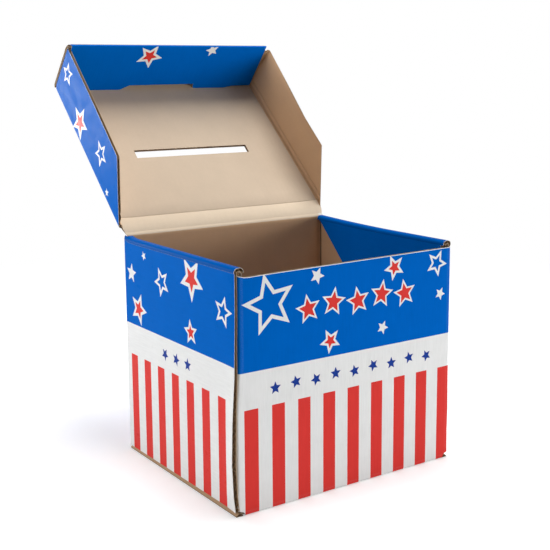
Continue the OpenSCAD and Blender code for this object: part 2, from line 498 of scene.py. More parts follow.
    def slab(self, loops, lines, upper, lower, upper_ink, lower_ink, rim_ink):
        """Adds a thin closed sheet between two depths, cut along loops and lines."""
        points, triangles = cut_flat([self.outline] + self.holes + loops, lines)
        kept = self.keep(points, triangles)
        index = {}
        for triangle, _ in kept:
            for i in triangle:
                if i not in index:
                    index[i] = len(self.points)
                    u, v = points[i]
                    self.pin(u, v, upper(u, v))
                    self.pin(u, v, lower(u, v))
        borders = {}
        for triangle, spot in kept:
            a, b, c = (index[i] for i in triangle)
            self.face((a, b, c), upper_ink(spot))
            self.face((c + 1, b + 1, a + 1), lower_ink)
            for start, end in ((a, b), (b, c), (c, a)):
                if not borders.pop((end, start), False):
                    borders[start, end] = True
        for start, end in borders:
            self.face((start, start + 1, end + 1, end), rim_ink)

    def face(self, corners, ink):
        """Adds a face, turned so that it looks out of the board."""
        self.faces.append(corners[::-1] if self.flip else corners)
        self.inks.append(INK_ORDER.index(ink))

    def wave(self, u, v):
        """Depth of the medium's middle, which a score presses in too."""
        place = (u, v)[self.across]
        swing = (BOARD - 2 * LINER - MEDIUM) / 2 - WAVE_PLAY
        free = BOARD / 2 + swing * math.cos(2 * math.pi * place / PITCH)
        return min(free, BOARD - DENT_ROOM - self.dent(u, v))

    def build(self):
        """The panel's mesh: printed liner, inner liner and medium."""
        bends = self.fold_lines() + self.grid_lines() + self.cuts
        print_loops = [loop for loop, _ in self.art]
        # Liner backs take the dark back kraft: partly painted shade in the flute hollows
        self.slab(print_loops, bends, lambda u, v: 0, lambda u, v: LINER,
                  self.ink_at, "back", "cut")
        self.slab([], bends, lambda u, v: BOARD - LINER - self.dent(u, v),
                  lambda u, v: BOARD - self.dent(u, v), lambda spot: "back",
                  self.lining, "edge")
        # The medium's kraft is darkened further: partly painted shade in the flute hollows
        self.slab([], bends + self.wave_lines(), lambda u, v: self.wave(u, v) - MEDIUM / 2,
                  lambda u, v: self.wave(u, v) + MEDIUM / 2, lambda spot: "medium",
                  "medium", "medium")
        piece = make_piece(self.node + "_board", self.points, self.faces, self.inks,
                           self.coords, self.wear_and_shade)
        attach(piece, self.body)
        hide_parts(self.node)
        return piece


SHARP_ANGLE = 30


def new_object(name, data):
    """A new object, linked to the scene."""
    made = bpy.data.objects.new(name, data)
    bpy.context.scene.collection.objects.link(made)
    return made


def make_piece(name, points, faces, inks, coords, wear_and_shade):
    """A mesh object with its inks, its board coordinates, and its wear and painted shade."""
    mesh = bpy.data.meshes.new(name)
    mesh.from_pydata([tuple(p) for p in points], [], faces)
    for material in INKS.values():
        mesh.materials.append(material)
    mesh.polygons.foreach_set("material_index", inks)
    mesh.polygons.foreach_set("use_smooth", [True] * len(faces))
    board = mesh.attributes.new("board", "FLOAT_VECTOR", "POINT")
    board.data.foreach_set("vector", [part for c in coords for part in c])
    wear = mesh.attributes.new("wear_and_shade", "FLOAT", "POINT")
    wear.data.foreach_set("value", wear_and_shade)
    mesh.set_sharp_from_angle(angle=math.radians(SHARP_ANGLE))
    mesh.validate()
    return new_object(name, mesh)


# Print

# A white star with a smaller one on it: that one's share of the radius, and its ink
STAR_HEARTS = {
    "outline": (0.6, "blue"),
    "hoop": (0.7, "blue"),
    "red": (0.58, "red"),
    "ruby": (0.72, "red"),
}


def star_print(kind, x, y, radius, turn):
    """A navy star, or a white one that may have a smaller star on it."""
    shapes = [(star(x, y, radius, turn), "navy" if kind == "navy" else "white")]
    if kind in STAR_HEARTS:
        share, ink = STAR_HEARTS[kind]
        shapes.append((star(x, y, radius * share, turn), ink))
    return shapes


def stars(layout, shift=0):
    """Star prints from a list of (kind, x, y, radius, turn)."""
    shapes = []
    for kind, x, y, radius, turn in layout:
        shapes += star_print(kind, x + shift, y, radius, turn)
    return shapes


def banner(low, high, band_foot, stripe_top, starts, width):
    """White below the blue band, with red stripes from stripe_top down."""
    shapes = [(box_loop(low, 0, high, band_foot), "white")]
    for start in starts:
        shapes.append((box_loop(low + start, 0, low + start + width, stripe_top), "red"))
    return shapes


FRONT_STARS = [
    ("hoop", 33, 170.5, 26.2, 30), ("white", 80.2, 188, 7.4, 65), ("red", 163, 185.5, 11.8, 43),
    ("outline", 212.3, 183.8, 12.6, 64), ("white", 217, 155.6, 6.1, 63),
    ("white", 150.3, 134.3, 6.3, 64), ("red", 93.7, 131.3, 11.2, 45),
]
FRONT_ROW = [("ruby", 71 + 26 * i, 161.5 + 2.5 * (i % 2), 13, 18 + 9 * (-1) ** i)
             for i in range(5)]
FRONT_SMALL_ROW = [("navy", 38 + 20.4 * i, 101 + 1.5 * (i % 2), 5.6, 18 + 12 * (i % 3))
                   for i in range(9)]
LEFT_STARS = [
    ("white", 152.5, 191, 4.4, 66), ("white", 178, 171.5, 9.2, 24),
    ("outline", 119.5, 172.5, 13.8, 65), ("red", 66.6, 184, 20, 53),
    ("outline", 17, 165.7, 13.4, 32), ("red", 165, 140, 15.6, 38), ("red", 69.5, 138, 11.5, 11),
]
LEFT_ROW = [("navy", 76 + 20 * i, 108.5, 6, 18 + 15 * i) for i in range(3)]
LID_LEFT_STARS = [
    ("outline", 181, 33.3, 12, 66), ("red", 130, 16.3, 17.8, 15), ("outline", 77, 27.2, 13.2, 29),
    ("white", 45.2, 7.6, 4.2, 50),
]
LID_INNER_STARS = [
    ("red", -25.8, 45.6, 15.4, 64), ("white", 46.8, 53.9, 7.9, 37),
]
BACK_STARS = [
    ("outline", 24, 176, 14, 20), ("red", 66, 158, 17, 44), ("white", 101, 182, 8, 60),
    ("hoop", 140, 160, 21, 12), ("white", 172, 136, 6, 30), ("red", 196, 176, 13, 52),
    ("white", 96, 135, 6.5, 5), ("outline", 30, 138, 10, 50),
]
RIGHT_STARS = [
    ("outline", 24, 178, 13, 20), ("red", 58, 150, 14, 60), ("white", 84, 185, 8, 40),
    ("hoop", 117, 163, 19, 15), ("white", 146, 138, 6, 66), ("red", 168, 178, 12, 33),
    ("white", 28, 139, 6, 10),
]
LID_RIGHT_STARS = [
    ("white", 48, 12, 5, 10), ("outline", 82, 30, 12, 50), ("red", 128, 22, 15, 35),
    ("white", 160, 40, 6, 60), ("outline", 182, 24, 10, 20),
]
LID_TOP_STARS = [
    ("red", -80, 45, 20, 25), ("white", -42, 62, 8, 50), ("outline", -6, 48, 15, 12),
    ("red", 46, 60, 12, 40), ("hoop", 84, 46, 19, 30), ("outline", -88, 98, 13, 60),
    ("white", 92, 98, 9, 20), ("white", -94, 138, 7, 33), ("hoop", -56, 150, 22, 8),
    ("red", 6, 142, 16, 55), ("white", 42, 164, 7, 15), ("outline", 74, 144, 17, 38),
    ("red", 98, 180, 10, 5), ("white", -22, 180, 8, 62), ("outline", -96, 180, 11, 48),
]
LID_FRONT_STARS = [
    ("white", -96, 38, 8, 20), ("red", -62, 28, 15, 45), ("outline", -20, 34, 12, 66),
    ("white", 8, 20, 6, 30), ("hoop", 42, 32, 17, 15), ("red", 82, 36, 11, 58),
    ("white", 104, 18, 6, 40),
]
FRONT_STRIPES = [8.8 + 25.8 * i for i in range(9)]
SIDE_STRIPES = [14 + 26 * i for i in range(7)]
FRONT_BAND = 118
FRONT_STRIPE_TOP = 87.3
SIDE_BAND = 123.8
SIDE_STRIPE_TOP = 94.8
STRIPE = 12.6


# Unevenness of the board

SWELL_U = 37
SWELL_V = 29


def hump(value, low, high):
    """0 at both ends and 1 in the middle."""
    return math.sin(math.pi * clamped((value - low) / (high - low)))


def bulge(low_u, high_u, low_v, high_v, amount, phase):
    """A broad, shallow unevenness that dies out at the panel's sides."""
    def sink(u, v):
        wave = math.sin(u / SWELL_U + phase) + 0.7 * math.sin(v / SWELL_V + 2 * phase)
        return amount * wave * hump(u, low_u, high_u) * hump(v, low_v, high_v)
    return sink


# The front wall's sides: a gap at the left, wide enough to hide a raw edge at the right
FRONT_LEFT = -WALL_HALF + 1.1
FRONT_RIGHT = HALF_W + 0.4
FRONT_RIGHT_FOOT = HALF_W - 0.7
SIDE_RECESS = 3.3

# Its left fold's spread: how far, from what height down, over what height it grows, and
# how far into the wall it fades
FRONT_SPREAD = 2.6
SPREAD_TOP = 125
SPREAD_GROWTH = 40
SPREAD_FADE = 2

# How far it draws back at its folds, within what distance, and from what height up
DRAW_BACK = 0.4
DRAW_REACH = 9
DRAW_HEIGHT = 20
FRONT_SOFT = bulge(FRONT_LEFT, FRONT_RIGHT, 0, FRONT_H, 0.12, 0.7)
BACK_SOFT = bulge(-WALL_HALF, WALL_HALF, 0, BODY_H, 0.15, 1.9)


def spread_share(v):
    """1 on the lower half of the front wall's left fold, 0 above it."""
    return clamped((SPREAD_TOP - v) / SPREAD_GROWTH)


def front_shift(u, v):
    """The front wall's left fold runs further left below, up to the frayed side wall."""
    near = clamped(1 - (u - FRONT_LEFT - FOLD) / SPREAD_FADE)
    return -FRONT_SPREAD * spread_share(v) * near


def front_warp(u, v):
    """The front wall draws back a little towards both of its folds."""
    left = max(0, FRONT_LEFT + DRAW_REACH - u) * (1 - spread_share(v))
    near = max(left, u - FRONT_RIGHT + DRAW_REACH, 0) / DRAW_REACH
    return DRAW_BACK * near * near * min(1, v / DRAW_HEIGHT) + FRONT_SOFT(u, v)


# Panels of the body

# The round notch at an end wall's lower corners
NOTCH = 5.2
NOTCH_TOP = FOLD + 1.6
NOTCH_STEPS = [math.radians(22.5 * i) for i in range(5)]

# The front wall's top edge: places and how far it dips there, the step up at its left
# end, and the depth of its white line at the right end and elsewhere
FRONT_CROWN = [(110, 0.3), (-70, 1.7), (-101, 2.2), (-105.5, 2)]
CROWN_STEP = 2
WHITE_LINE = (0.5, 0.55)


def end_wall_outline(left, right, right_foot, crown, left_top):
    """Front or back wall, notched at the foot. crown is its top edge between the ends."""
    arc = [(NOTCH * math.cos(a), NOTCH_TOP * math.sin(a)) for a in NOTCH_STEPS]
    right_arc = [(right_foot - x, z) for x, z in arc]
    left_arc = [(left + x, z) for x, z in arc[::-1]]
    return right_arc + [(right, crown[0][1])] + crown + [(left, left_top)] + left_arc


def build_end_walls():
    folds = {"u0": FOLD, "u1": FOLD, "v0": FOLD}
    band = banner(-HALF_W, HALF_W, FRONT_BAND, FRONT_STRIPE_TOP, FRONT_STRIPES, STRIPE)
    crown = [(x, FRONT_H - drop) for x, drop in FRONT_CROWN]
    front = end_wall_outline(FRONT_LEFT, FRONT_RIGHT, FRONT_RIGHT_FOOT, crown,
                             crown[-1][1] + CROWN_STEP)
    line = [(HALF_W + 1, FRONT_H + 1), (-HALF_W, FRONT_H + 1)]
    line += [(x, z - WHITE_LINE[1]) for x, z in crown[::-1]]
    line.append((HALF_W + 1, crown[0][1] - WHITE_LINE[0]))
    art = band + stars(FRONT_STARS + FRONT_ROW + FRONT_SMALL_ROW, -HALF_W) + [(line, "white")]
    fold_end = FRONT_LEFT + FOLD
    cuts = [((fold_end + s, 0), (fold_end + s, FRONT_H)) for s in (1, 2)]
    # Its lining is the darker kraft copy: painted shade inside the box
    Panel("front_wall", "box", (0, -HALF_D, 0), X, Z, Y, front, folds=folds, art=art,
          warp=front_warp, shift=front_shift, crisp=5, cuts=cuts, lining="inside",
          slot="printed_board").build()
    back = end_wall_outline(-WALL_HALF, WALL_HALF, WALL_HALF, [(110, CREASE_LOW)], CREASE_LOW)
    # Its lining is the darker kraft copy: painted shade inside the box
    Panel("back_wall", "box", (0, HALF_D, 0), X, Z, -Y, back, folds=folds,
          art=band + stars(BACK_STARS, -HALF_W), warp=BACK_SOFT, lining="inside",
          slot="printed_board").build()


# The side walls' locking tabs, their line, half the width of their slots and their foot
TABS = ((-78.4, -44.4), (-19.6, 14.4))
TAB_SLOT = 106.9
TAB_SLOT_HALF = 1.7
TAB_FOOT = 0.3

# How much of the bottom panel's raw side edges is pressed down, and from where
FOOT_PRESS = 0.65
FOOT_PRESS_REACH = 2.4


def foot_pinch(u, v):
    """The bottom panel's raw side edges are pressed down by the walls that stand on them."""
    return FOOT_PRESS * max(0, 1 - (HALF_W - abs(u)) / FOOT_PRESS_REACH)


def build_bottom():
    tongue = HALF_D - 0.6
    flat = HALF_D - FOLD
    inner = HALF_W - BOARD
    nub = [(inner - 3.8, -flat), (inner - 3.9, -tongue + 0.5), (inner - 3, -tongue - 0.3),
           (inner - 1.5, -tongue - 0.4)]
    outline = [(-x, y) for x, y in nub[::-1]] + nub + [
        (inner, -tongue), (HALF_W, -tongue), (HALF_W, tongue), (inner, tongue), (inner, flat),
        (-inner, flat), (-inner, tongue), (-HALF_W, tongue), (-HALF_W, -tongue),
        (-inner, -tongue)]
    holes = [box_loop(x - TAB_SLOT_HALF, low - PLAY, x + TAB_SLOT_HALF, high + PLAY)
             for x in (-TAB_SLOT, TAB_SLOT) for low, high in TABS]
    pressed = HALF_W - FOOT_PRESS_REACH
    cuts = [((s * pressed, -tongue), (s * pressed, tongue)) for s in (-1, 1)]
    # Its lining is the darker kraft copy: painted shade inside the box
    Panel("bottom_panel", "box", (0, 0, 0), X, Y, Z, outline, holes=holes, ink="white",
          lining="inside", pinch=foot_pinch, cuts=cuts, slot="kraft_board").build()


# Height and outward bulge of the outer side wall's free front end, and its reach
SIDE_BULGE = ((0, 0.6), (12, 2.8), (45, 4.3), (80, 3.3), (115, 0.9), (165, -0.5), (250, -0.6))
SIDE_BULGE_REACH = 34
SIDE_BULGE_CUTS = (4, 8, 13, 18, 24)

# That end's raw edge: its reach, the shares by which it is pressed thin above and
# frayed thick below, the fray's top, and the height over which it turns thin
EDGE_REACH = 4
EDGE_THIN = 0.2
EDGE_FRAY = 0.55
FRAY_TOP = 70
FRAY_FADE = 70


def side_end(u, v):
    """The outer side wall springs out at its free front end, below the closed lid."""
    reach = max(0, 1 - (u + HALF_D) / SIDE_BULGE_REACH)
    for (low, first), (high, second) in zip(SIDE_BULGE, SIDE_BULGE[1:]):
        if low <= v <= high:
            return -(first + (second - first) * (v - low) / (high - low)) * reach ** 3
    return 0


def side_pinch(u, v):
    """The outer side wall's free front end is frayed below and pressed thin above."""
    share = clamped((v - FRAY_TOP) / FRAY_FADE)
    thinner = (EDGE_THIN + EDGE_FRAY) * share - EDGE_FRAY
    return thinner * max(0, 1 - (u + HALF_D) / EDGE_REACH)


# The double side walls: heights and ends, the inner ones' slanted end, the rolls' step
SIDE_FOOT = BOARD + PLAY
SIDE_TOP = BODY_H - ROLL
INNER_FRONT = -HALF_D + BOARD + PLAY
INNER_STEP = (0.6, 0.8)
SLANT_LOW = (28.4, 140.2)
SLANT_TOP = 88.4
FOOT_GAP = 1.3
ROLL_STEP = 2.6
ROLL_REAR = HALF_D - BOARD - PLAY
ROLL_WEAR = (0.7, 0.3)

# Where each roll starts to rise towards the lid's crease, how much and how suddenly
ROLL_RISES = {-1: (HALF_D - 22, 2.5, 4), 1: (HALF_D - 110, 2.6, 1.6)}
RISE_CUTS = (0, 0.27, 0.45, 0.6, 0.73, 0.82, 0.91, 1)


def roll_rise(side, place):
    """The rolls turn up at their rear ends, towards the lid's crease."""
    start, rise, power = ROLL_RISES[side]
    return rise * max(0, (place - start) / (HALF_D - start)) ** power


def rise_places(side):
    start = ROLL_RISES[side][0]
    return [start + (HALF_D - start) * share for share in RISE_CUTS]


def build_outer_wall(side, word, layout):
    art = banner(-HALF_D, HALF_D, SIDE_BAND, SIDE_STRIPE_TOP, SIDE_STRIPES, STRIPE)
    art += stars(layout, -HALF_D)
    front = -HALF_D + (SIDE_RECESS if side > 0 else 0)
    rise = [(s, SIDE_TOP + roll_rise(side, s)) for s in rise_places(side)[::-1]]
    outline = [(front, SIDE_FOOT + FOOT_GAP), (HALF_D, SIDE_FOOT)] + rise + [
        (-HALF_D, SIDE_TOP), (-HALF_D, FRONT_H + PLAY), (front, FRONT_H + PLAY)]
    cuts = [((-HALF_D + s, 0), (-HALF_D + s, BODY_H)) for s in SIDE_BULGE_CUTS]
    Panel(word + "_outer_wall", "box", (side * HALF_W, 0, 0), Y, Z, X * -side, outline,
          across=1, art=art, warp=side_end, pinch=side_pinch, cuts=cuts,
          slot="printed_board").build()


def build_top_strip(side, word):
    width = HALF_W - INNER_FACE
    low, outer_edge = (-HALF_W, 0) if side < 0 else (INNER_FACE, width)
    step = outer_edge - side * ROLL_STEP
    if side < 0:
        rear = [(width, ROLL_REAR), (step, ROLL_REAR), (step, HALF_D), (0, HALF_D)]
    else:
        rear = [(width, HALF_D), (step, HALF_D), (step, ROLL_REAR), (0, ROLL_REAR)]
    outline = [(0, -HALF_D), (width, -HALF_D)] + rear
    cuts = [((0, s), (width, s)) for s in rise_places(side)[:-1]]
    # Its print is the darker copy of the blue: painted shade on the roll's top
    Panel(word + "_top_strip", "box", (low, 0, BODY_H), X, Y, -Z, outline,
          folds={"u0": ROLL, "u1": ROLL}, ink="deep", crisp=3, cuts=cuts,
          warp=lambda u, v: -roll_rise(side, v), scuffs=[(0, outer_edge, *ROLL_WEAR)]).build()


def build_inner_wall(side, word):
    tabs = []
    for start, end in TABS:
        tabs += [(start, SIDE_FOOT), (start, TAB_FOOT), (end, TAB_FOOT), (end, SIDE_FOOT)]
    slant = SLANT_LOW[0]
    back, up = INNER_FRONT + INNER_STEP[0], FRONT_H + INNER_STEP[1]
    outline = [(INNER_FRONT, SIDE_FOOT)] + tabs + [
        (slant, SIDE_FOOT), SLANT_LOW, (SLANT_TOP, SIDE_TOP + roll_rise(side, SLANT_TOP)),
        (slant, SIDE_TOP + roll_rise(side, slant)), (back, SIDE_TOP), (back, up),
        (INNER_FRONT, up)]
    # Its lining is the darker kraft copy: painted shade inside the box
    Panel(word + "_inner_wall", "box", (side * INNER_FACE, 0, 0), Y, Z, X * side,
          outline, across=1, lining="inside").build()


def build_sides():
    for side, word, layout in ((-1, "left", LEFT_STARS + LEFT_ROW), (1, "right", RIGHT_STARS)):
        build_outer_wall(side, word, layout)
        build_top_strip(side, word)
        build_inner_wall(side, word)


# Dust flaps: distance from the end walls' folds and from the middle, foot, narrowing,
# and the way and top of each kind
FLAP_OFF = 2.4
FLAP_FREE = 7.7
FLAP_FOOT = 3.6
FLAP_TAPER = 6
FLAP_ENDS = (("front", -1, FRONT_H - 0.8), ("back", 1, 199.4))


def build_dust_flaps():
    reach = HALF_D - FOLD - FLAP_OFF
    for side, word in ((-1, "left"), (1, "right")):
        for end, way, top in FLAP_ENDS:
            outline = [(way * reach, FLAP_FOOT), (way * FLAP_FREE, FLAP_FOOT + FLAP_TAPER),
                       (way * FLAP_FREE, top - FLAP_TAPER), (way * reach, top)]
            # Its lining is the darker kraft copy: painted shade inside the box
            Panel("%s_%s_dust_flap" % (end, word), "box", (side * WALL_HALF, 0, 0), Y, Z,
                  X * -side, outline, across=1, lining="inside", slot="kraft_board").build()


# Panels of the lid

def lid_spot(x, along, deep):
    return HINGE + X * x + LID_ALONG * along + LID_DEEP * deep


# The lid's sag, which is full at some reach from its walls
LID_SAG = 1.3
SAG_REACH = 12
# The kraft along the relief score is darkened as painted shade
LID_SCORE = (1, RELIEF, 1.1, 0.6)

# The hinge strip: half its width at the crease, the end of its slanted corners, and how
# much it is pressed flat there, up to PINCH_END
STRIP_HALF = 113.4
STRIP_START = 5.6
STRIP_PRESS = 0.75
PINCH_END = 11

# The ballot slot and the tabs' slots
LID_SLOTS = ((-66, 91.7, 66, 102.3), (-90.3, 189.8, -48, 194.6), (38.7, 190.9, 80, 194.6))


def crease_pinch(u, v):
    """The board is pressed flat towards the lid's crease."""
    return STRIP_PRESS * max(0, (PINCH_END - v) / (PINCH_END - HINGE_START)) ** 2


def lid_sag(u, v):
    """The lid bends at its relief score, and bulges between its walls."""
    side = min(1, (LID_HALF - abs(u)) / SAG_REACH)
    hold = 1 - (1 - side) ** 2
    if v < RELIEF:
        return -LID_SAG * hold * v / RELIEF
    rest = (v - RELIEF) / (LID_LEN - RELIEF)
    return -LID_SAG * hold * (1 - rest) ** 2


def build_lid_top():
    origin = lid_spot(0, 0, 0)
    strip = [(-STRIP_HALF, HINGE_START), (STRIP_HALF, HINGE_START), (LID_HALF, STRIP_START),
             (LID_HALF, RELIEF), (-LID_HALF, RELIEF), (-LID_HALF, STRIP_START)]
    cuts = [((-LID_HALF, v), (LID_HALF, v)) for v in (1.8, 3.2, 5, 7, 9, PINCH_END)]
    # Its lining is the lighter copy of the kraft: painted light on the hinge strip
    Panel("lid_hinge_strip", "lid", origin, X, LID_ALONG, LID_DEEP, strip,
          scores=[LID_SCORE], warp=lid_sag, pinch=crease_pinch, cuts=cuts,
          lining="pale").build()
    holes = [box_loop(*slot) for slot in LID_SLOTS]
    Panel("lid_top", "lid", origin, X, LID_ALONG, LID_DEEP,
          box_loop(-LID_HALF, RELIEF, LID_HALF, LID_LEN - FOLD), holes=holes,
          scores=[LID_SCORE], art=stars(LID_TOP_STARS), warp=lid_sag).build()


# How far the lid's walls flare, the right one at its front and the left one at its rear
RIGHT_FLARE = 5.5
FLARE_START = 90
FLARE_RUN = 105
LEFT_FLARE = 1.8
LEFT_FLARE_REACH = 120


def lid_wall_flare(side):
    """The left wall spreads at its free rear end and the right one at its front end."""
    def sink(u, v):
        rise = max(0, v - FOLD) / LID_SIDE_H
        if side < 0:
            return -LEFT_FLARE * rise * max(0, 1 - u / LEFT_FLARE_REACH)
        return -RIGHT_FLARE * rise * max(0, (u - FLARE_START) / FLARE_RUN) ** 1.5
    return sink


# The lid's walls: their scores and ends, how wide and how much the right one's free
# edges are pressed, and where that turns from its lining to its print
# The kraft along these scores is darkened as painted shade
LID_WALL_SCORES = [(1, 4.4, 2.8, 1.2), (1, 10.5, 1.6, 0.7)]
LID_WALL_END = LID_LEN - BOARD - PLAY
LID_WALL_FOOT = STRIP_START + 1
EDGE_PRESS_REACH = 4.4
EDGE_PRESS = 0.9
PRESS_TURN = 90
PRESS_TURN_RUN = 70

# The lid's dust flaps: their top and length
LID_FLAP_TOP = 52.2
LID_FLAP_LEN = 85


def free_edge(u, v):
    """Distance of a point of the lid's side wall from its free edges."""
    run, climb = LID_KNEE - LID_WALL_FOOT, LID_KNEE_H
    slanted = ((u - LID_WALL_FOOT) * climb - v * run) / math.hypot(run, climb)
    share = (u - LID_KNEE) / (LID_WALL_END - LID_KNEE)
    return min(slanted, LID_KNEE_H + share * (LID_SIDE_H - LID_KNEE_H) - v)


def pressed_edge(u, v):
    """How far the right wall's free edges are pressed flat, by the cutting."""
    return EDGE_PRESS * clamped(1 - free_edge(u, v) / EDGE_PRESS_REACH)


def front_share(u):
    """0 on the rear half of the lid's side wall, 1 near its front end."""
    return clamped((u - PRESS_TURN) / PRESS_TURN_RUN)


def pressing():
    """The right wall's options: how its free edges are pressed, and cuts beside them."""
    gap = EDGE_PRESS_REACH
    knee = (LID_KNEE + 0.8 * gap, LID_KNEE_H - gap)
    return {"crush": lambda u, v: pressed_edge(u, v) * (1 - front_share(u)),
            "pinch": lambda u, v: pressed_edge(u, v) * front_share(u),
            "cuts": [((LID_WALL_FOOT + 1.3 * gap, 0), knee),
                     (knee, (LID_WALL_END, LID_SIDE_H - gap))]}


def build_lid_sides():
    end = LID_WALL_END
    outline = [(LID_WALL_FOOT, 0), (end - FOLD, 0), (end - FOLD, FOLD),
               (end, FOLD + 0.5), (end, LID_SIDE_H), (LID_KNEE, LID_KNEE_H)]
    for side, word, layout in ((-1, "left", LID_LEFT_STARS), (1, "right", LID_RIGHT_STARS)):
        options = pressing() if side > 0 else {}
        # Their lining is the darker kraft copy: painted shade on the walls' inner faces
        Panel("lid_%s_wall" % word, "lid", lid_spot(side * LID_OUTER, 0, 0), LID_ALONG,
              LID_DEEP, X * -side, outline, across=1, folds={"u1": FOLD, "v0": FOLD},
              art=stars(layout), warp=lid_wall_flare(side), crisp=3,
              scores=LID_WALL_SCORES, lining="inside", **options).build()
        near = side * (LID_OUTER - FOLD)
        far = side * (LID_HALF - LID_FLAP_LEN)
        spread = RIGHT_FLARE if side > 0 else 0
        flap = [(near, FLAP_FOOT), (far, FLAP_FOOT + FLAP_TAPER),
                (far, LID_FLAP_TOP - FLAP_TAPER), (near + spread, LID_FLAP_TOP)]
        # Its lining is the dark back kraft: painted shade in the gaps beside the inner front
        # panel
        Panel("lid_%s_dust_flap" % word, "lid", lid_spot(0, end, 0), X, LID_DEEP,
              -LID_ALONG, flap, lining="back", slot="kraft_board").build()


# The rolled front: its top strip's rear edge, height, slope and tilt, and its inner
# panel's top, foot, lean, ends, tabs and the height of its lower edge beside them
ROLL_BACK = 194.7
ROLL_TOP = 61
ROLL_SLOPE = 1.15
ROLL_TILT = 0.005
INNER_TOP = ROLL_TOP - LID_ROLL
PANEL_FOOT = 191.5
PANEL_LEFT_LEAN = 0.9
PANEL_LEAN_ROOM = 0.7
PANEL_LEFT = -114.4
PANEL_RIGHT = 114.6
INNER_TABS = ((-91.5, -38.5), (38.5, 89.5))
PANEL_LIFTS = (6.2, 8.4, 8.4, 5.4)


def roll_lean(u, v):
    """The inner front panel leans back, as the roll is pinched at its top."""
    share = min(1, v / (INNER_TOP - PANEL_LEAN_ROOM))
    left = PANEL_LEFT_LEAN * (1 - u / LID_HALF) * (1 - share)
    return (ROLL_BACK - PANEL_FOOT) * share - left


def roll_slope(u, v):
    """The pinched roll falls off towards the outer wall, and to the left."""
    return ROLL_SLOPE * (v - ROLL_BACK) - ROLL_TILT * u


def build_lid_front():
    outer_top = INNER_TOP - ROLL_SLOPE * (LID_LEN - ROLL_BACK)
    tilt = ROLL_TILT * LID_OUTER
    outline = [(-LID_OUTER, 0), (LID_OUTER, 0), (LID_OUTER, outer_top + tilt),
               (-LID_OUTER, outer_top - tilt)]
    Panel("lid_front_outer", "lid", lid_spot(0, LID_LEN, 0), X, LID_DEEP, -LID_ALONG,
          outline, folds={"v0": FOLD}, art=stars(LID_FRONT_STARS)).build()
    outline = [(PANEL_LEFT - 2, ROLL_BACK + 2.5), (PANEL_LEFT, ROLL_BACK),
               (PANEL_RIGHT, ROLL_BACK), (PANEL_RIGHT + 2.4, LID_LEN),
               (PANEL_LEFT - 2.8, LID_LEN)]
    Panel("lid_front_top_strip", "lid", lid_spot(0, 0, ROLL_TOP), X, LID_ALONG,
          -LID_DEEP, outline, folds={"v0": LID_ROLL, "v1": LID_ROLL},
          warp=roll_slope).build()
    outline = [(PANEL_LEFT, PANEL_LIFTS[0])]
    for i, (start, end) in enumerate(INNER_TABS):
        outline += [(start, PANEL_LIFTS[2 * i]), (start + 2, 0.3), (end - 20, 0.9),
                    (end - 9, 2.8), (end, PANEL_LIFTS[2 * i + 1] - 0.6)]
    tilt = ROLL_TILT * PANEL_RIGHT
    outline += [(PANEL_RIGHT - 1.2, PANEL_LIFTS[3]), (PANEL_RIGHT, INNER_TOP + tilt),
                (PANEL_LEFT, INNER_TOP - tilt)]
    Panel("lid_front_inner", "lid", lid_spot(0, PANEL_FOOT, 0), X, LID_DEEP, LID_ALONG,
          outline, art=stars(LID_INNER_STARS), warp=roll_lean).build()


# The lid's crease: crushed board at the hinge. Its outer and inner side, as
# points (y, z) from the back wall up to the hinge strip
CREASE_LOW = BODY_H - 4
CREASE_OUTER = [(HALF_D, CREASE_LOW), (HALF_D, 202), (HALF_D, 204.6),
                (HALF_D + 0.05, 205.9), (HALF_D + 0.25, 206.35), (96.02, 206.57)]
CREASE_INNER = [(HALF_D - BOARD, CREASE_LOW), (HALF_D - BOARD, 201.6), (92.72, 203.3),
                (92.95, 204.4), (93.5, 205.3), (94.2, 205.9), (94.75, 206.5),
                (95.48, 207.16)]
CREASE_SECTION = CREASE_OUTER + CREASE_INNER[::-1]
CREASE_STEPS = 48
CREASE_RIPPLE = 0.12
# Wear over the whole crease, and in its valleys darker kraft: painted shade
CREASE_WEAR_AND_SHADE = (0.15, 0.9)

# Where it widens to the hinge strip, over what height, and where its inner side turns from
# painted shade to painted light
WIDER_FROM = 204.4
WIDER_OVER = 0.8
PALE_FROM = 204


def crease_width(z):
    """How much wider the crease is at a height than the back wall."""
    extra = (STRIP_HALF - 0.2 - WALL_HALF) / WALL_HALF
    return 1 + extra * clamped((z - WIDER_FROM) / WIDER_OVER)


def crease_ink(i, j):
    """Ink of the face from point j of the section to the next one, in step i."""
    outer = len(CREASE_OUTER) - 1
    last = len(CREASE_SECTION) - 1
    if j < outer:
        return "blue"
    if j in (outer, last):
        return "edge"
    # Lower inner faces take the darker kraft copy (painted shade), higher ones the lighter copy
    # (painted light)
    if min(CREASE_SECTION[j][1], CREASE_SECTION[j + 1][1]) <= PALE_FROM:
        return "inside"
    return "cut" if i == CREASE_STEPS - 1 else "pale"


